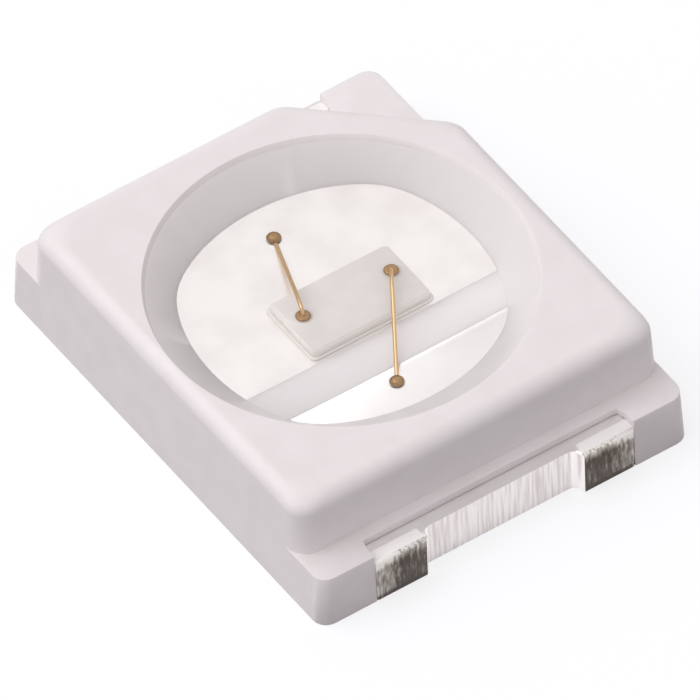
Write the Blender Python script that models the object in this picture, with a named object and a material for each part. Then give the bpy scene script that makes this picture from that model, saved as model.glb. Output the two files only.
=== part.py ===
"""A surface-mount LED in a 3.5 x 2.8 mm moulded package with a round reflector cup.

Units are metres and +Z is up. The origin is at the middle of the underside. +X is the long axis
and points to the anode end, and +Y runs across the package, to the side with the polarity chamfer.
"""

import math

import bmesh
import bpy
from mathutils import Matrix, Vector

MM = 0.001

# Moulded housing
LENGTH = 3.50 * MM
WIDTH = 2.80 * MM
HEIGHT = 0.82 * MM
ANODE_LEDGE = 0.245 * MM
CATHODE_LEDGE = 0.20 * MM
LEDGE_COVER = 0.06 * MM
FLANGE_CORNER = 0.10 * MM
BLOCK_CORNER = 0.15 * MM
TOP_EDGE_RADIUS = 0.11 * MM
DRAFT = math.radians(2.2)
CHAMFER_ALONG = 0.79 * MM
CHAMFER_ACROSS = 0.85 * MM
POCKET_DEPTH = 0.14 * MM
POCKET_CORNER = 0.04 * MM

# Reflector cup
CUP_SHIFT = -0.030 * MM
RIM_WALL = 0.145 * MM
LIP_WIDTH = 0.020 * MM
LIP_DEPTH = 0.040 * MM
FLOOR_END_INSET = 0.256 * MM
FLOOR_SIDE_INSET = 0.239 * MM
FLOOR_END_ARC = 1.29 * MM
FLOOR_SIDE_ARC = 1.36 * MM
FLOOR_CORNER_POWER = 36
FILL_SAG = 0.014 * MM

# Lead frame: thick plates under the cup, and thinner feet that end in the cut tabs
LEAD_THICKNESS = 0.44 * MM
TAB_THICKNESS = 0.335 * MM
PAD_THICKNESS = 0.13 * MM
PAD_GAP = 0.3065 * MM
PAD_GAP_SHARE = 0.492
PLATE_MARGIN = 0.10 * MM
LOCK_STEP = 0.08 * MM
TAB_WIDTH = 0.363 * MM
TAB_WALL = 0.422 * MM
TAB_REACH = 0.08 * MM
TAB_CORNER = 0.022 * MM
RECESS_CORNER = 0.055 * MM
PLATE_CORNER_SHARE = 0.75
GAP_CORNER = 0.06 * MM
ROLL_DEPTH = 0.015 * MM
ROLL_REACH = 0.038 * MM
TAB_ROLL_REACH = 0.060 * MM

# Chip and its adhesive
CHIP_LENGTH = 0.90 * MM
CHIP_WIDTH = 0.51 * MM
CHIP_THICKNESS = 0.08 * MM
CHIP_CORNER = 0.025 * MM
CHIP_SETBACK = 0.038 * MM
CHIP_Y = 0.006 * MM
MESA_HEIGHT = 0.006 * MM
MESA_INSET = 0.014 * MM
ADHESIVE_THICKNESS = 0.012 * MM
ADHESIVE_SPREAD = 0.020 * MM
ADHESIVE_TOP_SPREAD = 0.008 * MM

# Bond wires: a ball pressed on the chip, a loop, and a stitch under a bump on the lead
WIRE_DIAMETER = 0.027 * MM
BALL_DIAMETER = 0.100 * MM
BALL_FLAT = 0.080 * MM
BALL_HEIGHT = 0.027 * MM
BALL_NECK = 0.009 * MM
BALL_SHIFT = -0.047 * MM
CATHODE_BALL_INSET = 0.126 * MM
ANODE_BALL_INSET = 0.104 * MM
LOOP_HEIGHT = 0.15 * MM
LOOP_SHOULDER = 0.112 * MM
LOOP_SPAN_SHARE = 0.55
STITCH_LENGTH = 0.075 * MM
STITCH_WIDTH = 0.050 * MM
STITCH_TIP_WIDTH = 0.033 * MM
STITCH_HEEL = 0.052 * MM
STITCH_THICKNESS = 0.008 * MM
CATHODE_STITCH_SHARE = 0.347
CATHODE_STITCH_SHIFT = -0.032 * MM
ANODE_STITCH_INSET = 0.117 * MM
ANODE_STITCH_SHIFT = -0.100 * MM
BUMP_DIAMETER = 0.098 * MM
BUMP_TOP = 0.044 * MM
BUMP_HEIGHT = 0.034 * MM

# Play between pieces that touch, and how far a cutter runs past the face that it opens
CLEARANCE = 0.004 * MM
OVERRUN = 0.10 * MM

# Facets
CORNER_STEPS = 5
EDGE_STEPS = 6
ROLL_STEPS = 3
CUP_STEPS = 96
WIRE_SIDES = 10
WIRE_STEPS = 18
DOME_STEPS = 4
SAG_SHARES = (0.94, 0.8, 0.5)

# Sizes that follow from those above
FLANGE_HEIGHT = TAB_THICKNESS + LEDGE_COVER
RIM_RADIUS = min(WIDTH / 2, LENGTH / 2 - ANODE_LEDGE) - RIM_WALL
LIP_RADIUS = RIM_RADIUS - LIP_WIDTH
FLOOR_HALF_LENGTH = LIP_RADIUS - FLOOR_END_INSET
FLOOR_HALF_WIDTH = LIP_RADIUS - FLOOR_SIDE_INSET
PLATE_END = FLOOR_HALF_LENGTH + PLATE_MARGIN
PLATE_SIDE = FLOOR_HALF_WIDTH + PLATE_MARGIN
TAB_OUTER = WIDTH / 2 - TAB_WALL
TAB_INNER = TAB_OUTER - TAB_WIDTH
PAD_GAP_CENTRE = FLOOR_HALF_LENGTH * PAD_GAP_SHARE
ANODE_GAP_EDGE = PAD_GAP_CENTRE + PAD_GAP / 2
CATHODE_GAP_EDGE = PAD_GAP_CENTRE - PAD_GAP / 2
PLATE_CORNER = (PLATE_END - ANODE_GAP_EDGE) * PLATE_CORNER_SHARE
CHIP_X = CATHODE_GAP_EDGE - CHIP_SETBACK - CHIP_WIDTH / 2
ADHESIVE_BOTTOM = LEAD_THICKNESS + CLEARANCE
ADHESIVE_TOP = ADHESIVE_BOTTOM + ADHESIVE_THICKNESS
CHIP_BOTTOM = ADHESIVE_TOP + CLEARANCE
CHIP_SHOULDER = CHIP_BOTTOM + CHIP_THICKNESS
CHIP_TOP = CHIP_SHOULDER + MESA_HEIGHT


def clear_scene():
    for item in list(bpy.data.objects):
        bpy.data.objects.remove(item, do_unlink=True)


def make_material(name, colour, roughness, metallic=0.0, transmission=0.0):
    made = bpy.data.materials.new(name)
    made.use_nodes = True
    shader = made.node_tree.nodes["Principled BSDF"]
    shader.inputs["Base Color"].default_value = (*colour, 1.0)
    shader.inputs["Roughness"].default_value = roughness
    shader.inputs["Metallic"].default_value = metallic
    shader.inputs["Transmission Weight"].default_value = transmission
    return made


def make_object(name, bm, material=None):
    bmesh.ops.recalc_face_normals(bm, faces=bm.faces)
    mesh = bpy.data.meshes.new(name)
    bm.to_mesh(mesh)
    bm.free()
    made = bpy.data.objects.new(name, mesh)
    bpy.context.scene.collection.objects.link(made)
    if material is not None:
        mesh.materials.append(material)
    return made


def shade_round(piece, angle=math.radians(35)):
    piece.data.shade_smooth()
    piece.data.set_sharp_from_angle(angle=angle)


def as_cutter(piece):
    piece.hide_render = True
    piece.display_type = "WIRE"
    return piece


def combine(target, other, operation):
    """Adds a Boolean that takes the hidden piece away from the target, or adds it."""
    as_cutter(other)
    step = target.modifiers.new(f"{operation.lower()}_{other.name}", "BOOLEAN")
    step.operation = operation
    step.solver = "EXACT"
    step.object = other


def outline(corners, height, grow=0.0):
    """Points round a polygon at one height, anticlockwise, with an arc at each corner.

    Each corner is x, y and its radius. grow moves every side outwards.
    """
    count = len(corners)
    places = [Vector(corner[:2]) for corner in corners]
    sides = []
    for index, place in enumerate(places):
        along = (places[(index + 1) % count] - place).normalized()
        outward = Vector((along.y, -along.x))
        sides.append((place + outward * grow, along))
    points = []
    for index, corner in enumerate(corners):
        before, along_before = sides[index - 1]
        after, along_after = sides[index]
        cross = along_before.cross(along_after)
        turn = math.atan2(cross, along_before.dot(along_after))
        meeting = before + along_before * ((after - before).cross(along_after) / cross)
        radius = corner[2] + grow * math.copysign(1, turn)
        start = meeting - along_before * (radius * math.tan(abs(turn) / 2))
        inward = Vector((-along_before.y, along_before.x)) * math.copysign(radius, turn)
        centre = start + inward
        for step in range(CORNER_STEPS + 1):
            spoke = Matrix.Rotation(turn * step / CORNER_STEPS, 2) @ (-inward)
            points.append(Vector((*(centre + spoke), height)))
    return points


def bridge(bm, lower, upper):
    """Joins two rings of vertices with the same count by a band of quads."""
    for index in range(len(lower)):
        after = (index + 1) % len(lower)
        bm.faces.new((lower[index], lower[after], upper[after], upper[index]))


def loft(name, rings, material=None):
    """A closed solid through rings of points, with a flat cap on the first and the last."""
    bm = bmesh.new()
    loops = [[bm.verts.new(point) for point in ring] for ring in rings]
    for lower, upper in zip(loops, loops[1:]):
        bridge(bm, lower, upper)
    bm.faces.new(loops[0])
    bm.faces.new(loops[-1])
    return make_object(name, bm, material)


def drafted(half, height):
    """Half of a moulded size that is stated at the underside, at a height above it."""
    return half - height * math.tan(DRAFT)


def flange_outline(height):
    x = drafted(LENGTH / 2, height)
    y = drafted(WIDTH / 2, height)
    r = FLANGE_CORNER
    return outline([(x, -y, r), (x, y, r), (-x, y, r), (-x, -y, r)], height)


def block_outline(height, inset=0.0):
    """The upper block, with the polarity chamfer at -X, +Y. Its corners open out over the top edge."""
    anode = drafted(LENGTH / 2 - ANODE_LEDGE, height)
    cathode = -drafted(LENGTH / 2 - CATHODE_LEDGE, height)
    y = drafted(WIDTH / 2, height)
    r = BLOCK_CORNER + 2 * inset
    corners = [
        (anode, -y, r),
        (anode, y, r),
        (cathode + CHAMFER_ALONG, y, r),
        (cathode, y - CHAMFER_ACROSS, r),
        (cathode, -y, r),
    ]
    return outline(corners, height, -inset)


def housing_body():
    """Flange and upper block as one skin, with a flat ledge at each end and flush long sides."""
    bm = bmesh.new()

    def ring(points):
        return [bm.verts.new(point) for point in points]

    base = ring(flange_outline(0.0))
    brow = ring(flange_outline(FLANGE_HEIGHT))
    foot = ring(block_outline(FLANGE_HEIGHT))
    # Both outlines start with the two corners of the anode end, and the others follow.
    anode_points = 2 * (CORNER_STEPS + 1)
    for index in range(len(base)):
        after = (index + 1) % len(base)
        wall = [base[index], base[after], brow[after]]
        if after == anode_points:
            wall += [foot[after], foot[index]]
        if after == 0:
            wall += [foot[0], foot[-1]]
        bm.faces.new(wall + [brow[index]])
    bm.faces.new(brow[:anode_points] + foot[anode_points - 1 :: -1])
    bm.faces.new(brow[anode_points:] + foot[: anode_points - 1 : -1])
    bm.faces.new(base)

    loops = [foot]
    for step in range(EDGE_STEPS + 1):
        angle = math.pi / 2 * step / EDGE_STEPS
        height = HEIGHT - TOP_EDGE_RADIUS * (1 - math.sin(angle))
        inset = TOP_EDGE_RADIUS * (1 - math.cos(angle))
        loops.append(ring(block_outline(height, inset)))
    for lower, upper in zip(loops, loops[1:]):
        bridge(bm, lower, upper)
    bm.faces.new(loops[-1])
    return bm


def floor_reach(angle):
    """How far the cup's floor reaches in one direction: four shallow arcs with soft corners."""
    toward = Vector((math.cos(angle), math.sin(angle)))
    end_offset = FLOOR_END_ARC - FLOOR_HALF_LENGTH
    side_offset = FLOOR_SIDE_ARC - FLOOR_HALF_WIDTH
    arcs = [
        (Vector((end_offset, 0)), FLOOR_END_ARC),
        (Vector((-end_offset, 0)), FLOOR_END_ARC),
        (Vector((0, side_offset)), FLOOR_SIDE_ARC),
        (Vector((0, -side_offset)), FLOOR_SIDE_ARC),
    ]
    total = 0.0
    for centre, radius in arcs:
        ahead = toward.dot(centre)
        reach = ahead + math.sqrt(ahead**2 - centre.length_squared + radius**2)
        total += (LENGTH / reach) ** FLOOR_CORNER_POWER
    return LENGTH / total ** (1 / FLOOR_CORNER_POWER)


def cup_ring(height, radius=None, grow=0.0):
    """A ring of the cup: the floor's own outline, or a circle where a radius is given."""
    points = []
    for step in range(CUP_STEPS):
        angle = 2 * math.pi * step / CUP_STEPS
        reach = grow + (floor_reach(angle) if radius is None else radius)
        points.append(Vector((reach * math.cos(angle), CUP_SHIFT + reach * math.sin(angle), height)))
    return points


def cup_cutter():
    lip = HEIGHT - LIP_DEPTH
    flare = (RIM_RADIUS - LIP_RADIUS) * OVERRUN / LIP_DEPTH
    return loft(
        "cup_cutter",
        [
            cup_ring(LEAD_THICKNESS),
            cup_ring(lip, LIP_RADIUS),
            cup_ring(HEIGHT, RIM_RADIUS),
            cup_ring(HEIGHT + OVERRUN, RIM_RADIUS + flare),
        ],
    )


def lead_end():
    """The corners round a lead's outer end: two cut tabs with the punched recess between them."""
    end = LENGTH / 2
    return [
        (end, -TAB_OUTER, TAB_CORNER),
        (end, -TAB_INNER, TAB_CORNER),
        (end - TAB_REACH, -TAB_INNER, RECESS_CORNER),
        (end - TAB_REACH, TAB_INNER, RECESS_CORNER),
        (end, TAB_INNER, TAB_CORNER),
        (end, TAB_OUTER, TAB_CORNER),
    ]


def plate_corners(gap_edge):
    """The thick part of a lead under the cup, which runs towards +X from the gap between the leads."""
    return [
        (gap_edge, -PLATE_SIDE, GAP_CORNER),
        (PLATE_END, -PLATE_SIDE, PLATE_CORNER),
        (PLATE_END, PLATE_SIDE, PLATE_CORNER),
        (gap_edge, PLATE_SIDE, GAP_CORNER),
    ]


def foot_corners(gap_edge):
    """The foot of a lead: solder pad, neck and tabs, stepped back at the gap so that resin locks it."""
    start = gap_edge + LOCK_STEP
    return [(start, -TAB_OUTER, GAP_CORNER), *lead_end(), (start, TAB_OUTER, GAP_CORNER)]


def turned(points, flip):
    """The same ring half a turn round the vertical axis where flip is set."""
    if not flip:
        return points
    return [Vector((-point.x, -point.y, point.z)) for point in points]


def tab_roll_cutter(name, flip):
    """Takes off the top edge of the tabs, which the shear drew down over a short reach."""
    profile = []
    for step in range(ROLL_STEPS + 1):
        angle = math.pi / 2 * step / ROLL_STEPS
        x = LENGTH / 2 - TAB_ROLL_REACH * (1 - math.sin(angle))
        profile.append((x, TAB_THICKNESS - ROLL_DEPTH * (1 - math.cos(angle))))
    profile.append((LENGTH / 2 + OVERRUN, TAB_THICKNESS - ROLL_DEPTH))
    profile.append((LENGTH / 2 + OVERRUN, TAB_THICKNESS + OVERRUN))
    profile.append((LENGTH / 2 - TAB_ROLL_REACH, TAB_THICKNESS + OVERRUN))
    rings = [[Vector((x, y, z)) for x, z in profile] for y in (-WIDTH / 2, WIDTH / 2)]
    return loft(name, [turned(ring, flip) for ring in rings])


def make_lead(name, gap_edge, flip, material):
    """Makes one lead of the frame, and returns the two cutters for its seat in the housing."""
    plate = plate_corners(gap_edge)
    foot = foot_corners(gap_edge)
    rings = [outline(plate, PAD_THICKNESS)]
    for step in range(ROLL_STEPS + 1):
        angle = math.pi / 2 * step / ROLL_STEPS
        height = LEAD_THICKNESS - ROLL_DEPTH * (1 - math.sin(angle))
        rings.append(outline(plate, height, -ROLL_REACH * (1 - math.cos(angle))))
    lead = loft(name, [turned(ring, flip) for ring in rings], material)
    foot_rings = [outline(foot, 0.0), outline(foot, TAB_THICKNESS)]
    combine(lead, loft(f"{name}_foot", [turned(ring, flip) for ring in foot_rings]), "UNION")
    combine(lead, tab_roll_cutter(f"{name}_roll", flip), "DIFFERENCE")
    shade_round(lead)

    seat_rings = [
        outline(plate, PAD_THICKNESS - CLEARANCE, CLEARANCE),
        outline(plate, LEAD_THICKNESS + CLEARANCE, CLEARANCE),
    ]
    foot_seat_rings = [
        outline(foot, -OVERRUN, CLEARANCE),
        outline(foot, TAB_THICKNESS + CLEARANCE, CLEARANCE),
    ]
    seat = loft(f"{name}_seat", [turned(ring, flip) for ring in seat_rings])
    foot_seat = loft(f"{name}_foot_seat", [turned(ring, flip) for ring in foot_seat_rings])
    return [seat, foot_seat]


def pocket_cutter(name, flip):
    """The notch that the mould leaves over a lead's outer end, open outwards, up and down."""
    side = TAB_OUTER + CLEARANCE
    start = LENGTH / 2 - POCKET_DEPTH
    end = LENGTH / 2 + OVERRUN
    r = POCKET_CORNER
    corners = [(start, -side, r), (end, -side, r), (end, side, r), (start, side, r)]
    rings = [outline(corners, -OVERRUN), outline(corners, FLANGE_HEIGHT + OVERRUN)]
    return loft(name, [turned(ring, flip) for ring in rings])


def make_housing(seats, material):
    housing = make_object("housing", housing_body(), material)
    combine(housing, cup_cutter(), "DIFFERENCE")
    for seat in seats:
        combine(housing, seat, "DIFFERENCE")
    for name, flip in (("anode_pocket", False), ("cathode_pocket", True)):
        combine(housing, pocket_cutter(name, flip), "DIFFERENCE")
    shade_round(housing)


def chip_corners(corner):
    """Corners of the chip's rounded rectangle."""
    x, y = CHIP_WIDTH / 2, CHIP_LENGTH / 2
    return [
        (CHIP_X + x, CHIP_Y - y, corner),
        (CHIP_X + x, CHIP_Y + y, corner),
        (CHIP_X - x, CHIP_Y + y, corner),
        (CHIP_X - x, CHIP_Y - y, corner),
    ]


def make_adhesive(material):
    """The thin bed of die adhesive, squeezed out a little round the chip; returns its space."""
    corners = chip_corners(CHIP_CORNER)
    rings = [
        outline(corners, ADHESIVE_BOTTOM, ADHESIVE_SPREAD),
        outline(corners, ADHESIVE_TOP, ADHESIVE_TOP_SPREAD),
    ]
    loft("die_attach", rings, material)
    return loft(
        "die_attach_space",
        [
            outline(corners, LEAD_THICKNESS - CLEARANCE, ADHESIVE_SPREAD + CLEARANCE),
            outline(corners, ADHESIVE_BOTTOM + CLEARANCE, ADHESIVE_SPREAD + CLEARANCE),
            outline(corners, ADHESIVE_TOP + CLEARANCE, ADHESIVE_TOP_SPREAD + CLEARANCE),
        ],
    )


def make_chip(material):
    """The sapphire die with its shallow mesa step round the top; returns its space."""
    corners = chip_corners(CHIP_CORNER + MESA_INSET)
    rings = [
        outline(corners, CHIP_BOTTOM),
        outline(corners, CHIP_SHOULDER),
        outline(corners, CHIP_SHOULDER, -MESA_INSET),
        outline(corners, CHIP_TOP, -MESA_INSET),
    ]
    loft("led_chip", rings, material)
    return loft(
        "led_chip_space",
        [
            outline(corners, LEAD_THICKNESS, CLEARANCE),
            outline(corners, CHIP_TOP + CLEARANCE, CLEARANCE),
        ],
    )


def tube_ring(centre, tangent, across, half_width, half_height):
    """An elliptical section of a wire, square to its path."""
    up = across.cross(tangent).normalized()
    points = []
    for side in range(WIRE_SIDES):
        angle = 2 * math.pi * side / WIRE_SIDES
        offset = across * (half_width * math.cos(angle)) + up * (half_height * math.sin(angle))
        points.append(centre + offset)
    return points


def bezier(controls, t):
    a, b, c, d = controls
    s = 1 - t
    place = a * s**3 + b * (3 * s * s * t) + c * (3 * s * t * t) + d * t**3
    slope = (b - a) * (3 * s * s) + (c - b) * (6 * s * t) + (d - c) * (3 * t * t)
    return place, slope.normalized()


def wire_rings(ball, stitch, grow=0.0):
    """Sections from the ball on the chip, over the loop, to the flat stitch on the lead."""
    heading = (stitch - ball).to_3d().normalized()
    across = Vector((-heading.y, heading.x, 0))
    upward = Vector((0, 0, 1))
    seat = ball.to_3d() + upward * (CHIP_TOP + CLEARANCE)
    radius = WIRE_DIAMETER / 2
    rings = []
    if grow:
        below = seat - upward * (2 * CLEARANCE)
        flat = BALL_FLAT / 2 + grow
        rings.append(tube_ring(below, upward, across, flat, flat))
    for step in range(DOME_STEPS + 1):
        share = step / DOME_STEPS
        bulge = BALL_FLAT + (BALL_DIAMETER - BALL_FLAT) * math.sin(math.pi * share)
        level = seat + upward * (BALL_HEIGHT * share)
        rings.append(tube_ring(level, upward, across, bulge / 2 + grow, bulge / 2 + grow))
    neck = seat + upward * (BALL_HEIGHT + BALL_NECK + grow)
    landing = stitch.to_3d() - heading * STITCH_HEEL
    landing += upward * (LEAD_THICKNESS + CLEARANCE + radius)
    span = (landing - neck).to_2d().length
    controls = [
        neck,
        neck + upward * LOOP_HEIGHT,
        landing - heading * (span * LOOP_SPAN_SHARE) + upward * LOOP_SHOULDER,
        landing,
    ]
    for step in range(WIRE_STEPS + 1):
        place, tangent = bezier(controls, step / WIRE_STEPS)
        rings.append(tube_ring(place, tangent, across, radius + grow, radius + grow))
    flat = STITCH_THICKNESS / 2
    start = stitch.to_3d() + upward * (LEAD_THICKNESS + CLEARANCE + flat)
    start -= heading * (STITCH_LENGTH / 2)
    for share, width in ((0, STITCH_TIP_WIDTH), (0.5, STITCH_WIDTH), (1, STITCH_TIP_WIDTH)):
        place = start + heading * ((STITCH_LENGTH + grow) * share)
        rings.append(tube_ring(place, heading, across, width / 2 + grow, flat + grow))
    return rings


def make_wire(name, ball, stitch, material):
    """A gold bond wire; returns the space that the fill leaves round it."""
    wire = loft(name, wire_rings(ball, stitch), material)
    wire.data.shade_smooth()
    return loft(f"{name}_space", wire_rings(ball, stitch, CLEARANCE))


def disc(centre, height, radius):
    upward = Vector((0, 0, 1))
    return tube_ring(centre.to_3d() + upward * height, upward, Vector((1, 0, 0)), radius, radius)


def bump_rings(centre, grow=0.0):
    """Rings from the flat foot of a bump up to its small flat top."""
    bottom = LEAD_THICKNESS + STITCH_THICKNESS + 2 * CLEARANCE
    rings = []
    for step in range(DOME_STEPS + 1):
        share = step / DOME_STEPS
        width = BUMP_TOP + (BUMP_DIAMETER - BUMP_TOP) * math.cos(math.pi / 2 * share**2)
        rings.append(disc(centre, bottom + BUMP_HEIGHT * share + grow, width / 2 + grow))
    return rings


def make_bump(name, centre, material):
    """The gold security bump pressed on a stitch; returns the space that the fill leaves."""
    bump = loft(name, bump_rings(centre), material)
    shade_round(bump)
    foot = disc(centre, LEAD_THICKNESS, BUMP_DIAMETER / 2 + CLEARANCE)
    return loft(f"{name}_space", [foot, *bump_rings(centre, CLEARANCE)])


def make_encapsulant(spaces, material):
    """The clear fill of the cup, cast round the chip and the wires."""
    surface = HEIGHT - LIP_DEPTH
    edge = LIP_RADIUS - CLEARANCE
    rings = [
        cup_ring(LEAD_THICKNESS + CLEARANCE, grow=-CLEARANCE),
        cup_ring(surface, edge),
    ]
    for share in SAG_SHARES:
        rings.append(cup_ring(surface - FILL_SAG * (1 - share**4), edge * share))
    fill = loft("encapsulant", rings, material)
    for space in spaces:
        combine(fill, space, "DIFFERENCE")
    shade_round(fill)


def build():
    clear_scene()
    resin = make_material("white_resin", (0.80, 0.77, 0.77), 0.45)
    silver = make_material("silver_plating", (0.90, 0.89, 0.87), 0.25, metallic=1.0)
    glue = make_material("die_adhesive", (0.85, 0.85, 0.80), 0.3)
    sapphire = make_material("sapphire_die", (0.70, 0.66, 0.64), 0.2)
    gold = make_material("gold_wire", (0.80, 0.50, 0.22), 0.25, metallic=1.0)
    silicone = make_material("clear_silicone", (1.0, 1.0, 1.0), 0.02, transmission=1.0)

    anode_seats = make_lead("anode_leadframe", ANODE_GAP_EDGE, False, silver)
    cathode_seats = make_lead("cathode_leadframe", -CATHODE_GAP_EDGE, True, silver)
    make_housing(anode_seats + cathode_seats, resin)

    ball_x = CHIP_X + BALL_SHIFT
    cathode_ball = Vector((ball_x, CHIP_Y - CHIP_LENGTH / 2 + CATHODE_BALL_INSET))
    anode_ball = Vector((ball_x, CHIP_Y + CHIP_LENGTH / 2 - ANODE_BALL_INSET))
    free_floor = FLOOR_HALF_LENGTH + CHIP_X - CHIP_WIDTH / 2
    cathode_stitch = Vector((free_floor * CATHODE_STITCH_SHARE - FLOOR_HALF_LENGTH, CUP_SHIFT + CATHODE_STITCH_SHIFT))
    anode_stitch = Vector((ANODE_GAP_EDGE + ANODE_STITCH_INSET, CUP_SHIFT + ANODE_STITCH_SHIFT))
    spaces = [make_adhesive(glue), make_chip(sapphire)]
    for pole, ball, stitch in (
        ("cathode", cathode_ball, cathode_stitch),
        ("anode", anode_ball, anode_stitch),
    ):
        spaces.append(make_wire(f"{pole}_bond_wire", ball, stitch, gold))
        spaces.append(make_bump(f"{pole}_stitch_bump", stitch, gold))
    make_encapsulant(spaces, silicone)


build()
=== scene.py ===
"""The looks of a 3.5 x 2.8 mm surface-mount LED, dressed in the order in which it is made."""

import math

import bmesh
import bpy
from mathutils import Matrix, Vector


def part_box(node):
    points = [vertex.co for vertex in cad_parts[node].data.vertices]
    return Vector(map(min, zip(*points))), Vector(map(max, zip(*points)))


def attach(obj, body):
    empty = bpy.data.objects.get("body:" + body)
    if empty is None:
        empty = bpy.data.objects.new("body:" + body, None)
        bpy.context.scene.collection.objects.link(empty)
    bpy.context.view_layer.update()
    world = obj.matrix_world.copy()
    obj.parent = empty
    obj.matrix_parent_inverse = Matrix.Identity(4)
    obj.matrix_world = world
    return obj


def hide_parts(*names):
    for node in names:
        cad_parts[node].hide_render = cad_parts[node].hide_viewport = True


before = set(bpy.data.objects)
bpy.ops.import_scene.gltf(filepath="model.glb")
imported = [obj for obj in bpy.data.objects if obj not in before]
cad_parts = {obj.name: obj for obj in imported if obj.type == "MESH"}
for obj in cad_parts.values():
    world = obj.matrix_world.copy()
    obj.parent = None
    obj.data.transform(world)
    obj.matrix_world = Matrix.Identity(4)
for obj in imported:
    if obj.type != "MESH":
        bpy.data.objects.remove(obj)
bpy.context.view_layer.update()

# Camera. A long lens from above the corner between the anode end and the plain long side, as a
# small part is photographed through a macro tube with hardly any perspective.
MM = 0.001
VIEW_AZIMUTH = math.radians(57.09)
VIEW_ELEVATION = math.radians(47.18)
VIEW_ROLL = math.radians(-2.08)
FRAMED_WIDTH = 4.391 * MM
AIM_HEIGHT = 0.40 * MM
AIM_RIGHT = 0.0189 * MM
AIM_UP = -0.1696 * MM
LENS = 1500
SENSOR = 36
NEAREST_SEEN = 0.1 * MM
FARTHEST_SEEN = 2000 * MM

back = Vector((
    math.cos(VIEW_ELEVATION) * math.sin(VIEW_AZIMUTH),
    -math.cos(VIEW_ELEVATION) * math.cos(VIEW_AZIMUTH),
    math.sin(VIEW_ELEVATION),
))
level = Vector((math.cos(VIEW_AZIMUTH), math.sin(VIEW_AZIMUTH), 0))
roll = Matrix.Rotation(VIEW_ROLL, 3, back)
right = roll @ level
up = roll @ back.cross(level)
distance = FRAMED_WIDTH * LENS / SENSOR
lens = bpy.data.cameras.new("macro_lens")
lens.lens = LENS
lens.sensor_width = SENSOR
lens.clip_start = NEAREST_SEEN
lens.clip_end = FARTHEST_SEEN
camera = bpy.data.objects.new("macro_camera", lens)
bpy.context.scene.collection.objects.link(camera)
camera.rotation_mode = "QUATERNION"
camera.rotation_quaternion = Matrix((right, up, back)).transposed().to_quaternion()
camera.location = Vector((0, 0, AIM_HEIGHT)) + back * distance + right * AIM_RIGHT + up * AIM_UP
bpy.context.scene.camera = camera
bpy.context.scene.view_settings.view_transform = "Standard"


# Studio. A white sheet under the part, an even pale room round it and one wide soft box high on
# the side of the plain long wall, so that the anode end lies in half shade. The sheet and the room
# are pure white where they are seen, mirrored or seen through something clear, and nowhere else.
FLOOR_RADIUS = 150 * MM
FLOOR_SIDES = 96
FLOOR_GREY = "#929196"
FLOOR_LIFT = 0.737
ROOM_LIGHT = 0.645
ROOM_TINT = "#F7F4F5"
BEFORE_A_BOUNCE = 0.5
SOFT_BOX_SIZE = 140 * MM
SOFT_BOX_PLACE = Vector((-44, -70, 103)) * MM
SOFT_BOX_WATTS = 0.104


def linear(hex_colour):
    """Turns an sRGB hex colour into the linear values that a shader takes."""
    parts = [int(hex_colour[start:start + 2], 16) / 255 for start in (1, 3, 5)]
    return *[c / 12.92 if c <= 0.04045 else ((c + 0.055) / 1.055) ** 2.4 for c in parts], 1.0


def fit(tree, made, inputs):
    """Gives each socket of a node a value, another node's output or another node's first one."""
    for socket, value in inputs.items():
        if isinstance(value, bpy.types.Node):
            value = value.outputs[0]
        if isinstance(value, bpy.types.NodeSocket):
            tree.links.new(value, made.inputs[socket])
        else:
            made.inputs[socket].default_value = value


def node(tree, kind, inputs=None, stops=None, **settings):
    """Adds a node with its settings and links; stops are a ramp's places and hex colours."""
    made = tree.nodes.new(kind)
    for name, value in settings.items():
        setattr(made, name, value)
    if stops is not None:
        ramp = made.color_ramp.elements
        ramp[0].position, ramp[0].color = stops[0][0], linear(stops[0][1])
        ramp[1].position, ramp[1].color = stops[-1][0], linear(stops[-1][1])
        for position, hex_colour in stops[1:-1]:
            ramp.new(position).color = linear(hex_colour)
    fit(tree, made, inputs or {})
    return made


def seen_as_it_is(tree):
    """What is 1 for the camera, for reflections and through clear things, and the ray's node."""
    ray = node(tree, "ShaderNodeLightPath")
    seen = ray.outputs["Is Camera Ray"]
    for kind in ("Is Glossy Ray", "Is Transmission Ray"):
        seen = node(tree, "ShaderNodeMath", {0: seen, 1: ray.outputs[kind]}, operation="MAXIMUM")
    return seen, ray


world = bpy.data.worlds.new("pale_room")
bpy.context.scene.world = world
world.use_nodes = True
room = world.node_tree
room.nodes.clear()
seen, ray = seen_as_it_is(room)
first = node(room, "ShaderNodeMath", {0: ray.outputs["Diffuse Depth"], 1: BEFORE_A_BOUNCE},
             operation="LESS_THAN")
seen = node(room, "ShaderNodeMath", {0: seen, 1: first}, operation="MULTIPLY")
light = node(room, "ShaderNodeBackground", {"Color": linear(ROOM_TINT), "Strength": ROOM_LIGHT})
white = node(room, "ShaderNodeBackground", {"Color": linear("#FFFFFF"), "Strength": 1.0})
mixed = node(room, "ShaderNodeMixShader", {0: seen, 1: light, 2: white})
node(room, "ShaderNodeOutputWorld", {"Surface": mixed})

sheet_mesh = bpy.data.meshes.new("white_sheet")
bm = bmesh.new()
bmesh.ops.create_circle(bm, cap_ends=True, segments=FLOOR_SIDES, radius=FLOOR_RADIUS)
bm.to_mesh(sheet_mesh)
bm.free()
sheet = bpy.data.objects.new("white_sheet", sheet_mesh)
bpy.context.scene.collection.objects.link(sheet)
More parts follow.
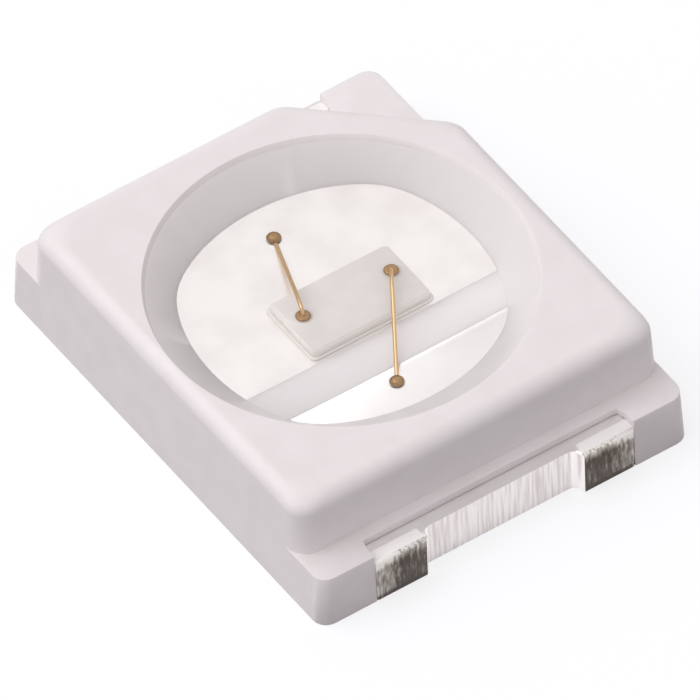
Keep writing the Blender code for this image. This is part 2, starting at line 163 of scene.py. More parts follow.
# Matt white paper: an even white without gloss, which keeps the part's soft shadow.
paper = bpy.data.materials.new("white_paper")
paper.use_nodes = True
tree = paper.node_tree
tree.nodes.clear()
seen = seen_as_it_is(tree)[0]
lift = node(tree, "ShaderNodeMath", {0: seen, 1: FLOOR_LIFT}, operation="MULTIPLY")
matt = node(tree, "ShaderNodeBsdfDiffuse", {"Color": linear(FLOOR_GREY)})
glow = node(tree, "ShaderNodeEmission", {"Strength": lift})
both = node(tree, "ShaderNodeAddShader", {0: matt, 1: glow})
node(tree, "ShaderNodeOutputMaterial", {"Surface": both})
sheet_mesh.materials.append(paper)

box_light = bpy.data.lights.new("soft_box", "AREA")
box_light.shape = "SQUARE"
box_light.size = SOFT_BOX_SIZE
box_light.energy = SOFT_BOX_WATTS
soft_box = bpy.data.objects.new("soft_box", box_light)
bpy.context.scene.collection.objects.link(soft_box)
soft_box.location = SOFT_BOX_PLACE
soft_box.rotation_mode = "QUATERNION"
soft_box.rotation_quaternion = SOFT_BOX_PLACE.to_track_quat("Z", "Y")
soft_box.visible_camera = False


# Housing. White titania-filled resin, moulded in one shot round both leads in a polished cavity.
# The cup's walls come from a mirror-polished core, so they are smoother; their whites are painted
# paler than the outer resin's, as painted light that lifts the shade in the cup.
# The clearance round the leads is closed here, because resin and metal meet without a gap.
RESIN_TONES = ((0.35, "#ECE5E6"), (0.65, "#EFE9EA"))
RESIN_ROUGHNESS = 0.42
RESIN_GLOW = 0.05 * MM
# The cup's whites are painted paler than the resin's: painted light on the cup's walls.
CUP_PAINTED_LIGHT_TONES = ((0.35, "#FCF7F7"), (0.65, "#FEFAFA"))
CUP_ROUGHNESS = 0.30
CUP_GLOW = 0.08 * MM
GLOW_SHARE = 0.3
MOTTLE = 0.22 * MM
# The real grain is a few thousandths of a millimetre, which is too fine to show.
SKIN_GRAIN = 0.012 * MM
SKIN_DEPTH = 0.0004 * MM
RESIN_EDGE = 0.010 * MM
EDGE_STEPS = 2
SHARP_EDGE = math.radians(38)
TRUE_FLAT = math.radians(0.1)
SEAM = 0.00001 * MM
PLAY = 0.004 * MM
CLOSED = 0.0038 * MM
HAIR = PLAY / 10
NOTCH_NEAR = 0.09 * MM
NOTCH_FAR = 0.15 * MM
NOTCH_DEEPER = 0.035 * MM
FACING_UP = 0.5

lead_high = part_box("anode_leadframe")[1]
lead_top = lead_high.z
tab_end = lead_high.x
lead_points = [corner.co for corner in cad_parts["anode_leadframe"].data.vertices]
end_points = [point for point in lead_points if point.x > tab_end - PLAY]
tab_top = max(point.z for point in end_points)
tab_outer = max(point.y for point in end_points)
tab_inner = min(abs(point.y) for point in end_points)
fill_low, fill_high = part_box("encapsulant")
cup_centre = (fill_low + fill_high) / 2
fill_radius = (fill_high.x - fill_low.x) / 2 + PLAY


def plain_mesh(piece):
    """Turns a piece with its modifiers into a plain mesh with the piece's name."""
    view_layer = bpy.context.view_layer
    view_layer.update()
    finished = bpy.data.meshes.new_from_object(piece.evaluated_get(view_layer.depsgraph))
    piece.modifiers.clear()
    piece.data = finished
    finished.name = piece.name
    return piece


def rounded_copy(node_name, name, edge_radius, change=None):
    """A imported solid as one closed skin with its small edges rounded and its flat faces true."""
    piece = bpy.data.objects.new(name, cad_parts[node_name].data.copy())
    bpy.context.scene.collection.objects.link(piece)
    piece.data.materials.clear()
    bm = bmesh.new()
    bm.from_mesh(piece.data)
    bmesh.ops.remove_doubles(bm, verts=bm.verts, dist=SEAM)
    if change is not None:
        change(bm)
    bmesh.ops.dissolve_limit(bm, angle_limit=TRUE_FLAT, verts=bm.verts, edges=bm.edges,
                             delimit={"MATERIAL"})
    bm.to_mesh(piece.data)
    bm.free()
    piece.data.shade_smooth()
    edges = piece.modifiers.new("small_edges", "BEVEL")
    edges.width = edge_radius
    edges.segments = EDGE_STEPS
    edges.limit_method = "ANGLE"
    edges.angle_limit = SHARP_EDGE
    edges.harden_normals = True
    faces = piece.modifiers.new("flat_faces", "WEIGHTED_NORMAL")
    faces.keep_sharp = True
    return plain_mesh(piece)


def fresh_material(name):
    """A new material with its tree, its shader and the object's own coordinates."""
    made = bpy.data.materials.new(name)
    made.use_nodes = True
    place = node(made.node_tree, "ShaderNodeTexCoord").outputs["Object"]
    return made, made.node_tree, made.node_tree.nodes["Principled BSDF"], place


def moulded_resin(name, tones, roughness, glow):
    """White filled resin: two close whites in soft clouds, a fine moulded grain, a short glow."""
    made, tree, shader, place = fresh_material(name)
    cloud = node(tree, "ShaderNodeTexNoise", {"Vector": place, "Scale": 1 / MOTTLE, "Detail": 3})
    skin = node(tree, "ShaderNodeTexNoise", {"Vector": place, "Scale": 1 / SKIN_GRAIN, "Detail": 2})
    fit(tree, shader, {
        "Base Color": node(tree, "ShaderNodeValToRGB", {"Fac": cloud}, stops=tones),
        "Normal": node(tree, "ShaderNodeBump", {"Height": skin, "Distance": SKIN_DEPTH}),
        "Roughness": roughness,
        "Subsurface Weight": GLOW_SHARE,
        "Subsurface Radius": (1, 1, 1),
        "Subsurface Scale": glow,
    })
    return made


def lower_seats(bm):
    """Lets the resin down on the leads' plates and sinks the notches over the tabs a little."""
    for vertex in bm.verts:
        if abs(vertex.co.z - lead_top - PLAY) < HAIR:
            vertex.co.z -= CLOSED
        in_reach = NOTCH_NEAR < tab_end - abs(vertex.co.x) < NOTCH_FAR
        over_tabs = abs(vertex.co.y) < tab_outer + CLOSED + PLAY and vertex.co.z > tab_top
        if in_reach and over_tabs:
            vertex.co.x -= math.copysign(NOTCH_DEEPER, vertex.co.x)


housing = rounded_copy("housing", "moulded_housing", RESIN_EDGE, change=lower_seats)
housing.data.materials.append(
    moulded_resin("moulded_white_resin", RESIN_TONES, RESIN_ROUGHNESS, RESIN_GLOW))
# The second copy, for the cup's faces, is the same resin painted paler: painted light.
housing.data.materials.append(
    moulded_resin("polished_reflector_resin_painted_paler", CUP_PAINTED_LIGHT_TONES, CUP_ROUGHNESS, CUP_GLOW))
for face in housing.data.polygons:
    spoke = (face.center - cup_centre).to_2d()
    in_cup = spoke.length < fill_radius and lead_top - PLAY < face.center.z < fill_high.z + PLAY
    if in_cup and (face.normal.to_2d().dot(spoke) < 0 or face.normal.z > FACING_UP):
        face.material_index = 1
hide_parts("housing")
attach(housing, "root")


# Leads. Stamped from copper alloy strip and silver plated before moulding, so the upper faces and
# the punched recess are bright. They lie locked in the resin. The tabs were sheared off the strip
# afterwards, so their ends show bare metal.
SILVER_TONES = ((0.35, "#EEE8E6"), (0.62, "#F7F2F0"))
# The smaller lead's plating is painted a shade brighter than the larger lead's: painted light.
ANODE_PAINTED_LIGHT_TONES = ((0.35, "#FCF8F7"), (0.62, "#FFFDFC"))
SILVER_ROUGHNESS = 0.30
PLATING_CLOUD = 0.35 * MM
# The grain of the plating is drawn coarser than it is, so that it shows.
PLATING_GRAIN = 0.02 * MM
PLATING_DEPTH = 0.0004 * MM
PUNCHED_TONES = ((0.36, "#D5CECB"), (0.60, "#EFEAE9"))
PUNCHED_ROUGHNESS = 0.36
STREAK_WIDTH = 0.022 * MM
STREAK_LENGTH = 0.40 * MM
STREAK_DEPTH = 0.0025 * MM
# The shoulders' white is a painted highlight, drawn as matt white in place of mirror silver.
SHOULDER_PAINTED_HIGHLIGHT = "#FFFDFC"
SHOULDER_ROUGHNESS = 0.45
SHEAR_TONES = ((0.34, "#463C36"), (0.54, "#5F544D"), (0.86, "#B5AEA6"), (1.0, "#E9E5E1"))
SHEAR_ROUGHNESS = 0.45
SHEAR_METAL = 0.6
SHEAR_STREAK = 0.020 * MM
SHEAR_LENGTH = 0.080 * MM
SHEAR_DEPTH = 0.004 * MM
# Shares of the tab's width and height where the sheared end turns paler, and by how much.
OUTER_START = 0.45
OUTER_PALER = 0.34
UPPER_START = 0.78
UPPER_END = 1.05
UPPER_PALER = 0.5
# The sheared end is darker in a band along its bottom.
FOOT_BAND = 0.022 * MM
FOOT_DARKER = 0.30
STAMPED_EDGE = 0.004 * MM
ROLLED = 0.016 * MM
POCKET = 0.14 * MM
SHOULDER_STEP = 0.03 * MM
TAB_REACH = 0.08 * MM
TAB_ROOT = 0.12 * MM
TAB_WIDER = 0.028 * MM
SHEAR_REACH = 0.004 * MM
# Limits for the parts of a face's normal, which tell upright, flat and rounded faces apart.
UPRIGHT = 0.3
SQUARE_ON = 0.9
TRULY_UP = 0.99
EDGE_LEANS = (0.2, 0.985)
SILVER, SHEARED, PUNCHED, SHOULDER = range(4)


def bright_silver(name, tones):
    """Bright plated silver: soft clouds where the bath left it a shade duller, and a fine grain."""
    made, tree, shader, place = fresh_material(name)
    cloud = node(tree, "ShaderNodeTexNoise",
                 {"Vector": place, "Scale": 1 / PLATING_CLOUD, "Detail": 2})
    grain = node(tree, "ShaderNodeTexNoise",
                 {"Vector": place, "Scale": 1 / PLATING_GRAIN, "Detail": 2})
    fit(tree, shader, {
        "Base Color": node(tree, "ShaderNodeValToRGB", {"Fac": cloud}, stops=tones),
        "Normal": node(tree, "ShaderNodeBump", {"Height": grain, "Distance": PLATING_DEPTH}),
        "Metallic": 1.0,
        "Roughness": SILVER_ROUGHNESS,
    })
    return made


# The smaller lead's plating is painted a shade brighter than the larger lead's, as painted light;
# both are the same plating.
plating = {"cathode": bright_silver("bright_silver_plating", SILVER_TONES),
           "anode": bright_silver("anode_silver_painted_brighter", ANODE_PAINTED_LIGHT_TONES)}

# Punched silver: the punch drew fine upright streaks down the wall of the recess.
punched, tree, shader, place = fresh_material("punched_silver_wall")
drawn = node(tree, "ShaderNodeMapping", {
    "Vector": place, "Scale": (1 / STREAK_WIDTH, 1 / STREAK_WIDTH, 1 / STREAK_LENGTH)})
streaks = node(tree, "ShaderNodeTexNoise", {"Vector": drawn, "Scale": 1.0, "Detail": 3})
fit(tree, shader, {
    "Base Color": node(tree, "ShaderNodeValToRGB", {"Fac": streaks}, stops=PUNCHED_TONES),
    "Normal": node(tree, "ShaderNodeBump", {"Height": streaks, "Distance": STREAK_DEPTH}),
    "Metallic": 1.0,
    "Roughness": PUNCHED_ROUGHNESS,
})

# The tabs' shoulders in matt, non-metallic white: a painted highlight on the silver, which scatters
# light as white paint does, so they look white.
shoulder, tree, shader, place = fresh_material("shoulder_painted_highlight")
grain = node(tree, "ShaderNodeTexNoise", {"Vector": place, "Scale": 1 / PLATING_GRAIN, "Detail": 2})
fit(tree, shader, {
    "Base Color": linear(SHOULDER_PAINTED_HIGHLIGHT),
    "Normal": node(tree, "ShaderNodeBump", {"Height": grain, "Distance": PLATING_DEPTH}),
    "Metallic": 0.0,
    "Roughness": SHOULDER_ROUGHNESS,
})

# Sheared copper alloy: dark and torn towards the recess, paler at the outer side and the top,
# and darker in a band along the bottom.
sheared, tree, shader, place = fresh_material("sheared_copper_alloy")
torn = node(tree, "ShaderNodeMapping", {
    "Vector": place, "Scale": (1 / SHEAR_STREAK, 1 / SHEAR_STREAK, 1 / SHEAR_LENGTH)})
tears = node(tree, "ShaderNodeTexNoise", {"Vector": torn, "Scale": 1.0, "Detail": 4})
where = node(tree, "ShaderNodeSeparateXYZ", {0: place})
aside = node(tree, "ShaderNodeMath", {0: where.outputs[1]}, operation="ABSOLUTE")
outer = node(tree, "ShaderNodeMapRange", {
    "Value": aside, "From Min": tab_inner + OUTER_START * (tab_outer - tab_inner),
    "From Max": tab_outer, "To Min": 0.0, "To Max": OUTER_PALER})
upper = node(tree, "ShaderNodeMapRange", {
    "Value": where.outputs[2], "From Min": UPPER_START * tab_top,
    "From Max": UPPER_END * tab_top, "To Min": 0.0, "To Max": UPPER_PALER})
darker_foot = node(tree, "ShaderNodeMapRange", {
    "Value": where.outputs[2], "From Min": FOOT_BAND, "From Max": 2 * FOOT_BAND,
    "To Min": -FOOT_DARKER, "To Max": 0.0})
paler = node(tree, "ShaderNodeMath", {0: outer, 1: upper}, operation="ADD")
paler = node(tree, "ShaderNodeMath", {0: paler, 1: darker_foot}, operation="ADD")
tone = node(tree, "ShaderNodeMath", {0: tears, 1: paler}, operation="ADD")
fit(tree, shader, {
    "Base Color": node(tree, "ShaderNodeValToRGB", {"Fac": tone}, stops=SHEAR_TONES),
    "Normal": node(tree, "ShaderNodeBump", {"Height": tears, "Distance": SHEAR_DEPTH}),
    "Metallic": SHEAR_METAL,
    "Roughness": SHEAR_ROUGHNESS,
})


def fill_seats(bm):
    """Fills the plate's rolled edge, the tabs' inner sides and the play round a lead, and cuts
    its top where the shoulders begin."""
    bm.normal_update()
    for vertex in bm.verts:
        if lead_top - ROLLED < vertex.co.z < lead_top:
            vertex.co.z = lead_top
        at_side = -TAB_REACH < abs(vertex.co.y) - tab_inner < TAB_REACH / 2
        if abs(vertex.co.x) > tab_end - TAB_REACH - PLAY and at_side:
            vertex.co.y -= math.copysign(TAB_WIDER, vertex.co.y)
    for vertex in bm.verts:
        sideways = Vector((0, 0))
        for face in vertex.link_faces:
            if abs(face.normal.z) < UPRIGHT:
                sideways += face.normal.to_2d()
        if abs(vertex.co.x) > tab_end - TAB_ROOT:
            sideways.x = 0
        if sideways.length > UPRIGHT:
            vertex.co += (sideways.normalized() * CLOSED).to_3d()
    start = tab_end - POCKET + SHOULDER_STEP
    inner = tab_inner - TAB_WIDER
    for side in (-1, 1):
        for place, normal in (((side * start, 0, 0), (1, 0, 0)), ((0, side * inner, 0), (0, 1, 0))):
            everything = bm.verts[:] + bm.edges[:] + bm.faces[:]
            bmesh.ops.bisect_plane(bm, geom=everything, plane_co=place, plane_no=normal, dist=SEAM)
    bm.normal_update()
    for face in bm.faces:
        middle = face.calc_center_median()
        if abs(middle.x) > start and abs(middle.y) > inner and face.normal.z > TRULY_UP:
            face.material_index = SHOULDER


for pole in ("cathode", "anode"):
    lead = rounded_copy(f"{pole}_leadframe", f"{pole}_lead", STAMPED_EDGE, change=fill_seats)
    for material in (plating[pole], sheared, punched, shoulder):
        lead.data.materials.append(material)
    for face in lead.data.polygons:
        if face.material_index == SHOULDER:
            continue
        out = abs(face.center.x)
        aside = abs(face.center.y)
        at_tab = aside > tab_inner - TAB_WIDER - STAMPED_EDGE and out > tab_end - TAB_REACH
        cut_end = out > tab_end - SHEAR_REACH and abs(face.normal.x) > SQUARE_ON
        cut_side = at_tab and aside > tab_outer - PLAY and abs(face.normal.z) < SQUARE_ON
        cut_edge = at_tab and EDGE_LEANS[0] < face.normal.z < EDGE_LEANS[1]
        if cut_end or cut_side or cut_edge:
            face.material_index = SHEARED
        elif out > tab_end - TAB_REACH - PLAY and abs(face.normal.z) < FACING_UP:
            face.material_index = SILVER if abs(face.normal.y) > UPRIGHT else PUNCHED
    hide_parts(f"{pole}_leadframe")
    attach(lead, "root")


# Die attach. A thin bed of clear epoxy, dotted on the plate, squeezed out a little past the chip
# and cured.
# The clear epoxy is painted near white: painted light that lifts the shade at the chip's foot.
GLUE_PAINTED_LIGHT = "#FAF6F1"
GLUE_ROUGHNESS = 0.2
GLUE_RIPPLE = 0.05 * MM
GLUE_DEPTH = 0.0015 * MM
GLUE_EDGE = 0.002 * MM

# Cured epoxy: a glossy, slightly warm rim with the ripples of a liquid that has set, painted near
# white as painted light that lifts the shade at the chip's foot.
glue, tree, shader, place = fresh_material("cured_die_epoxy_painted_light")
ripple = node(tree, "ShaderNodeTexNoise", {"Vector": place, "Scale": 1 / GLUE_RIPPLE})
fit(tree, shader, {
    "Base Color": linear(GLUE_PAINTED_LIGHT),
    "Normal": node(tree, "ShaderNodeBump", {"Height": ripple, "Distance": GLUE_DEPTH}),
    "Roughness": GLUE_ROUGHNESS,
})
glue_bed = rounded_copy("die_attach", "die_epoxy", GLUE_EDGE)
glue_bed.data.materials.append(glue)
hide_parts("die_attach")
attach(glue_bed, "root")


# Chip. A sapphire die, sawn and broken from its wafer and glued on the larger lead: a polished top
# with a shallow etched mesa and four slightly rough cleaved sides.
CHIP_TONES = ((0.35, "#EEE8E4"), (0.70, "#F5EFEB"))
CHIP_ROUGHNESS = 0.12
CHIP_CLOUD = 0.16 * MM
CHIP_EDGE = 0.0015 * MM
SAPPHIRE_INDEX = 1.77
# The sides are painted near white: painted light in place of the light through the clear sapphire.
CLEAVED_PAINTED_LIGHT = "#F4EFEB"
CLEAVED_ROUGHNESS = 0.35
CLEFT = 0.02 * MM
CLEFT_DEPTH = 0.002 * MM
CHIP_SIDE = 0.7

# Polished sapphire over its layers: a smooth pale grey with a sharp gloss.
chip_top, tree, shader, place = fresh_material("polished_sapphire")
cloud = node(tree, "ShaderNodeTexNoise", {"Vector": place, "Scale": 1 / CHIP_CLOUD})
fit(tree, shader, {
    "Base Color": node(tree, "ShaderNodeValToRGB", {"Fac": cloud}, stops=CHIP_TONES),
    "Roughness": CHIP_ROUGHNESS,
    "IOR": SAPPHIRE_INDEX,
})

# Cleaved sapphire: small facets that break up the gloss of the sides, which are painted near white
# as painted light in place of the light that comes through the clear sapphire.
chip_side, tree, shader, place = fresh_material("cleaved_sapphire_painted_light")
cleft = node(tree, "ShaderNodeTexNoise", {"Vector": place, "Scale": 1 / CLEFT})
fit(tree, shader, {
    "Base Color": linear(CLEAVED_PAINTED_LIGHT),
    "Normal": node(tree, "ShaderNodeBump", {"Height": cleft, "Distance": CLEFT_DEPTH}),
    "Roughness": CLEAVED_ROUGHNESS,
})
chip = rounded_copy("led_chip", "sapphire_chip", CHIP_EDGE)
chip.data.materials.append(chip_top)
chip.data.materials.append(chip_side)
for face in chip.data.polygons:
    if abs(face.normal.z) < CHIP_SIDE:
        face.material_index = 1
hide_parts("led_chip")
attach(chip, "root")


# Bond wires and bumps. Gold wire 27 micrometres thick, welded on with heat and ultrasound: a ball
# pressed on the chip, a low loop and a flat stitch on the lead, with a second ball pressed over
# the stitch.
WIRE_GOLD = "#E3BE8C"
WIRE_ROUGHNESS = 0.30
WIRE_DENTS = 0.0006 * MM
BALL_GOLD = "#A88255"
BALL_ROUGHNESS = 0.38
BALL_DENTS = 0.0015 * MM
DENT_SIZE = 0.018 * MM
WIRE_RADIUS = 0.0135 * MM
WIRE_STEPS = 48
WIRE_SIDES = 20
LOOP_RISE = 0.15 * MM
LOOP_SHOULDER = 0.112 * MM
# The share of the wire's span over which the loop comes down.
LOOP_SHARE = 0.55
STITCH_HEEL = 0.052 * MM
STITCH_SIZE = Vector((0.085, 0.050, 0.010)) * MM
STITCH_SIDES = 32
STITCH_RINGS = 16
BALL_RADIUS = 0.050 * MM
BALL_SWELL = 0.0225 * MM
BALL_HALF = 0.0135 * MM
BALL_SIDES = 40
BALL_RINGS = 24
BUMP_SWELL = 0.038 * MM
# How far round its place on the chip the solid wire's points belong to its ball.
OVER_CHIP = 2.5 * BALL_HALF
ROUND_BALL = 2.2 * BALL_RADIUS


def bonded_gold(name, tint, roughness, dent):
    """Gold with the small dents that the bonding tool and the heat leave on it."""
    made, tree, shader, place = fresh_material(name)
    dents = node(tree, "ShaderNodeTexNoise", {"Vector": place, "Scale": 1 / DENT_SIZE})
    fit(tree, shader, {
        "Base Color": linear(tint),
        "Normal": node(tree, "ShaderNodeBump", {"Height": dents, "Distance": dent}),
        "Metallic": 1.0,
        "Roughness": roughness,
    })
    return made


def geometry_tree(name, **sockets):
    """A geometry tree with the named inputs; returns it with the inputs' outlets."""
    made = bpy.data.node_groups.new(name, "GeometryNodeTree")
    for label, kind in sockets.items():
        made.interface.new_socket(label, in_out="INPUT", socket_type=f"NodeSocket{kind}")
    made.interface.new_socket("Geometry", in_out="OUTPUT", socket_type="NodeSocketGeometry")
    return made, node(made, "NodeGroupInput").outputs


def clothe(tree, shape, material):
    """Ends a geometry tree: its shape is made real and takes its material."""
    real = node(tree, "GeometryNodeRealizeInstances", {"Geometry": shape})
    clothed = node(tree, "GeometryNodeSetMaterial", {"Geometry": real, "Material": material})
    node(tree, "NodeGroupOutput", {"Geometry": clothed})


def grown(name, tree, **values):
    """Runs a geometry tree once with its named inputs and keeps the result as a plain mesh."""
    piece = bpy.data.objects.new(name, bpy.data.meshes.new(name))
    bpy.context.scene.collection.objects.link(piece)
    step = piece.modifiers.new("making", "NODES")
    step.node_group = tree
    for item in tree.interface.items_tree:
        if item.in_out == "INPUT" and item.name in values:
            step[item.identifier] = values[item.name]
    return plain_mesh(piece)


# The drawn wire is smooth and pale. The balls are rougher, as they were melted and flattened,
# and drawn in a darker, browner gold.
drawn_gold = bonded_gold("drawn_gold_wire", WIRE_GOLD, WIRE_ROUGHNESS, WIRE_DENTS)
pressed_gold = bonded_gold("pressed_gold_ball", BALL_GOLD, BALL_ROUGHNESS, BALL_DENTS)

# A ball: a globe squashed to its swell and then pressed flat below and above.
ball_tree, given = geometry_tree("pressed_ball", Place="Vector", Radius="Float", Swell="Float",
                                 Below="Float", Above="Float", Gold="Material")
globe = node(ball_tree, "GeometryNodeMeshUVSphere",
             {"Segments": BALL_SIDES, "Rings": BALL_RINGS, "Radius": 1.0})
size = node(ball_tree, "ShaderNodeCombineXYZ",
            {0: given["Radius"], 1: given["Radius"], 2: given["Swell"]})
squashed = node(ball_tree, "GeometryNodeTransform", {"Geometry": globe, "Scale": size})
spot = node(ball_tree, "ShaderNodeSeparateXYZ", {0: node(ball_tree, "GeometryNodeInputPosition")})
under = node(ball_tree, "ShaderNodeMath", {0: given["Below"], 1: -1.0}, operation="MULTIPLY")
pressed = node(ball_tree, "ShaderNodeClamp",
               {"Value": spot.outputs[2], "Min": under, "Max": given["Above"]})
where = node(ball_tree, "ShaderNodeCombineXYZ",
             {0: spot.outputs[0], 1: spot.outputs[1], 2: pressed})
placed = node(ball_tree, "ShaderNodeVectorMath", {0: where, 1: given["Place"]}, operation="ADD")
flat = node(ball_tree, "GeometryNodeSetPosition", {"Geometry": squashed, "Position": placed})
clothe(ball_tree, flat, given["Gold"])

# A wire: it rises out of its ball, bends over and comes down low to the heel of its stitch, a
# flattened tail that lies in line with it.
wire_tree, given = geometry_tree("bonded_wire", Ball="Vector", Stitch="Vector", Heading="Vector",
                                 Turn="Float", Span="Float", Radius="Float", Rise="Float",
                                 Shoulder="Float", Share="Float", Heel="Float", Tail="Vector",
                                 Gold="Material")
above_ball = node(wire_tree, "ShaderNodeCombineXYZ", {2: given["Rise"]})
rise = node(wire_tree, "ShaderNodeVectorMath", {0: given["Ball"], 1: above_ball}, operation="ADD")
back_off = node(wire_tree, "ShaderNodeVectorMath", {0: given["Heading"], 3: given["Heel"]},
                operation="SCALE")
heel = node(wire_tree, "ShaderNodeVectorMath", {0: given["Stitch"], 1: back_off},
            operation="SUBTRACT")
length = node(wire_tree, "ShaderNodeMath", {0: given["Span"], 1: given["Share"]},
              operation="MULTIPLY")
inward = node(wire_tree, "ShaderNodeVectorMath", {0: given["Heading"], 3: length},
              operation="SCALE")
lower = node(wire_tree, "ShaderNodeVectorMath", {0: heel, 1: inward}, operation="SUBTRACT")
above_heel = node(wire_tree, "ShaderNodeCombineXYZ", {2: given["Shoulder"]})
bend = node(wire_tree, "ShaderNodeVectorMath", {0: lower, 1: above_heel}, operation="ADD")
path = node(wire_tree, "GeometryNodeCurvePrimitiveBezierSegment", {
    "Resolution": WIRE_STEPS, "Start": given["Ball"], "Start Handle": rise,
    "End Handle": bend, "End": heel})
section = node(wire_tree, "GeometryNodeCurvePrimitiveCircle",
               {"Resolution": WIRE_SIDES, "Radius": given["Radius"]})
sweep = node(wire_tree, "GeometryNodeCurveToMesh",
             {"Curve": path, "Profile Curve": section, "Fill Caps": True})
tail = node(wire_tree, "GeometryNodeMeshUVSphere",
            {"Segments": STITCH_SIDES, "Rings": STITCH_RINGS, "Radius": 0.5})
turn = node(wire_tree, "ShaderNodeCombineXYZ", {2: given["Turn"]})
sunk = node(wire_tree, "ShaderNodeCombineXYZ", {2: given["Radius"]})
foot = node(wire_tree, "ShaderNodeVectorMath", {0: given["Stitch"], 1: sunk}, operation="SUBTRACT")
laid = node(wire_tree, "GeometryNodeTransform", {
    "Geometry": tail, "Translation": foot, "Rotation": turn, "Scale": given["Tail"]})
joined = node(wire_tree, "GeometryNodeJoinGeometry")
for shape in (sweep, laid):
    fit(wire_tree, joined, {0: shape})
clothe(wire_tree, joined, given["Gold"])

chip_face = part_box("led_chip")[1].z
for pole in ("cathode", "anode"):
    bump_low, bump_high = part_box(f"{pole}_stitch_bump")
    stitch = (bump_low + bump_high) / 2
    corners = [corner.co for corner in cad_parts[f"{pole}_bond_wire"].data.vertices]
    far_side = max(corners, key=lambda point: (point - stitch).to_2d().length)
    ball_points = [point for point in corners if point.z < chip_face + OVER_CHIP
                   and (point - far_side).to_2d().length < ROUND_BALL]
    ball = sum(ball_points, Vector()) / len(ball_points)
    ball.z = chip_face + BALL_HALF
    stitch.z = lead_top + WIRE_RADIUS
    reach = (stitch - ball).to_2d()
    heading = reach.normalized().to_3d()
    wire = grown(f"{pole}_gold_wire", wire_tree, Ball=ball, Stitch=stitch, Heading=heading,
                 Turn=math.atan2(heading.y, heading.x), Span=reach.length - STITCH_HEEL,
                 Radius=WIRE_RADIUS, Rise=LOOP_RISE, Shoulder=LOOP_SHOULDER, Share=LOOP_SHARE,
                 Heel=STITCH_HEEL, Tail=STITCH_SIZE, Gold=drawn_gold)
    wire.data.shade_smooth()
    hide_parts(f"{pole}_bond_wire")
    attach(wire, "root")
    pressed_ball = grown(f"{pole}_gold_ball", ball_tree, Place=ball, Radius=BALL_RADIUS,
                         Swell=BALL_SWELL, Below=BALL_HALF, Above=BALL_HALF, Gold=pressed_gold)
    pressed_ball.data.shade_smooth()
    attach(pressed_ball, "root")
    bump = grown(f"{pole}_gold_bump", ball_tree, Place=Vector((stitch.x, stitch.y, bump_low.z)),
                 Radius=(bump_high.x - bump_low.x) / 2, Swell=BUMP_SWELL, Below=0.0,
                 Above=bump_high.z - bump_low.z, Gold=pressed_gold)
    bump.data.shade_smooth()
    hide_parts(f"{pole}_stitch_bump")
    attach(bump, "root")


# Clear fill. Two-part silicone, dispensed into the cup and cured: a smooth disc that creeps up to
# the lip and sags a little in the middle. It wets the resin and the leads, so no air is between.
FILL_INDEX = 1.54
FILL_PASSES = 0.58
FILL_EDGE = 0.002 * MM
FILL_SAG = 0.014 * MM
FILL_CREEP = 4.0
FILL_SIDES = 128
FILL_RINGS = 24
FILL_RIM = math.radians(40)

# Clear silicone: it bends what is seen through it and mirrors the room faintly. Lamp light passes
# it dimmed and scattered light passes it whole, both straight, so that the cup is lit evenly.
silicone = bpy.data.materials.new("cured_clear_silicone")
silicone.use_nodes = True
tree = silicone.node_tree
shader = tree.nodes["Principled BSDF"]
fit(tree, shader, {
    "Base Color": linear("#FFFFFF"),
    "Transmission Weight": 1.0,
    "Roughness": 0.0,
    "IOR": FILL_INDEX,
})
ray = node(tree, "ShaderNodeLightPath")
dimmed = node(tree, "ShaderNodeMapRange",
              {"Value": ray.outputs["Is Shadow Ray"], "To Min": 1.0, "To Max": FILL_PASSES})
clear = node(tree, "ShaderNodeBsdfTransparent", {"Color": dimmed})
straight = node(tree, "ShaderNodeMath",
                {0: ray.outputs["Is Shadow Ray"], 1: ray.outputs["Is Diffuse Ray"]},
                operation="MAXIMUM")
passing = node(tree, "ShaderNodeMixShader", {0: straight, 1: shader, 2: clear})
fit(tree, tree.nodes["Material Output"], {"Surface": passing})

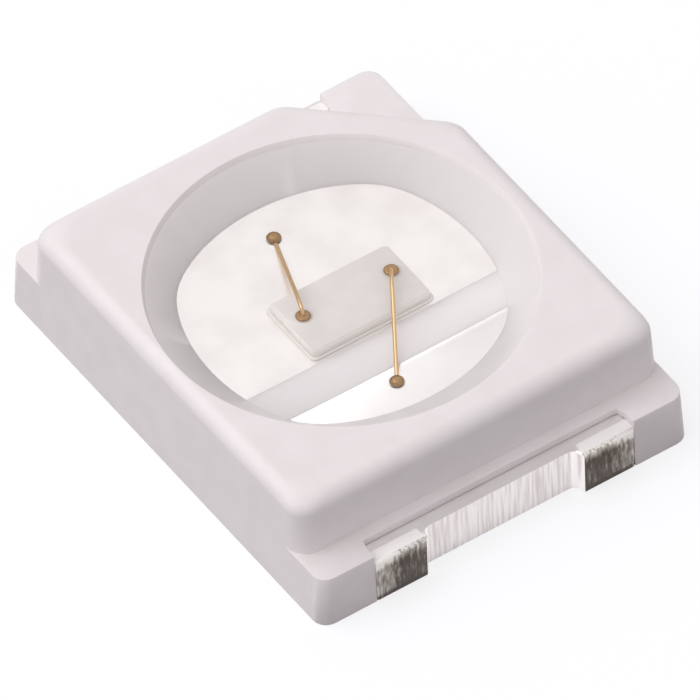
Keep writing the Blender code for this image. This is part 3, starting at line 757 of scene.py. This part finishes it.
# The disc: its top is let down by the sag, less and less towards the lip.
fill_tree, given = geometry_tree("sagging_fill", Radius="Float", Bottom="Float", Top="Float",
                                 Sag="Float", Silicone="Material")
depth = node(fill_tree, "ShaderNodeMath", {0: given["Top"], 1: given["Bottom"]},
             operation="SUBTRACT")
disc = node(fill_tree, "GeometryNodeMeshCylinder", {
    "Vertices": FILL_SIDES, "Fill Segments": FILL_RINGS, "Radius": given["Radius"],
    "Depth": depth})
half = node(fill_tree, "ShaderNodeMath", {0: depth, 1: 0.5}, operation="MULTIPLY")
middle = node(fill_tree, "ShaderNodeMath", {0: given["Bottom"], 1: half}, operation="ADD")
spot = node(fill_tree, "ShaderNodeSeparateXYZ", {0: node(fill_tree, "GeometryNodeInputPosition")})
flat = node(fill_tree, "ShaderNodeCombineXYZ", {0: spot.outputs[0], 1: spot.outputs[1]})
reach = node(fill_tree, "ShaderNodeVectorMath", {0: flat}, operation="LENGTH")
share = node(fill_tree, "ShaderNodeMath", {0: reach.outputs["Value"], 1: given["Radius"]},
             operation="DIVIDE")
crept = node(fill_tree, "ShaderNodeMath", {0: share, 1: FILL_CREEP}, operation="POWER")
missing = node(fill_tree, "ShaderNodeMath", {0: crept, 1: 1.0}, operation="SUBTRACT")
upper = node(fill_tree, "ShaderNodeMath", {0: spot.outputs[2], 1: 0.0}, operation="GREATER_THAN")
only_top = node(fill_tree, "ShaderNodeMath", {0: missing, 1: upper}, operation="MULTIPLY")
dip = node(fill_tree, "ShaderNodeMath", {0: only_top, 1: given["Sag"]}, operation="MULTIPLY")
lift = node(fill_tree, "ShaderNodeMath", {0: dip, 1: middle}, operation="ADD")
shift = node(fill_tree, "ShaderNodeCombineXYZ", {2: lift})
sagged = node(fill_tree, "GeometryNodeSetPosition", {"Geometry": disc, "Offset": shift})
clothe(fill_tree, sagged, given["Silicone"])

fill = grown("silicone_fill", fill_tree, Radius=fill_radius + FILL_EDGE,
             Bottom=lead_top - FILL_EDGE, Top=fill_high.z, Sag=FILL_SAG, Silicone=silicone)
fill.data.transform(Matrix.Translation((cup_centre.x, cup_centre.y, 0)))
fill.data.shade_smooth()
fill.data.set_sharp_from_angle(angle=FILL_RIM)
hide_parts("encapsulant")
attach(fill, "root")
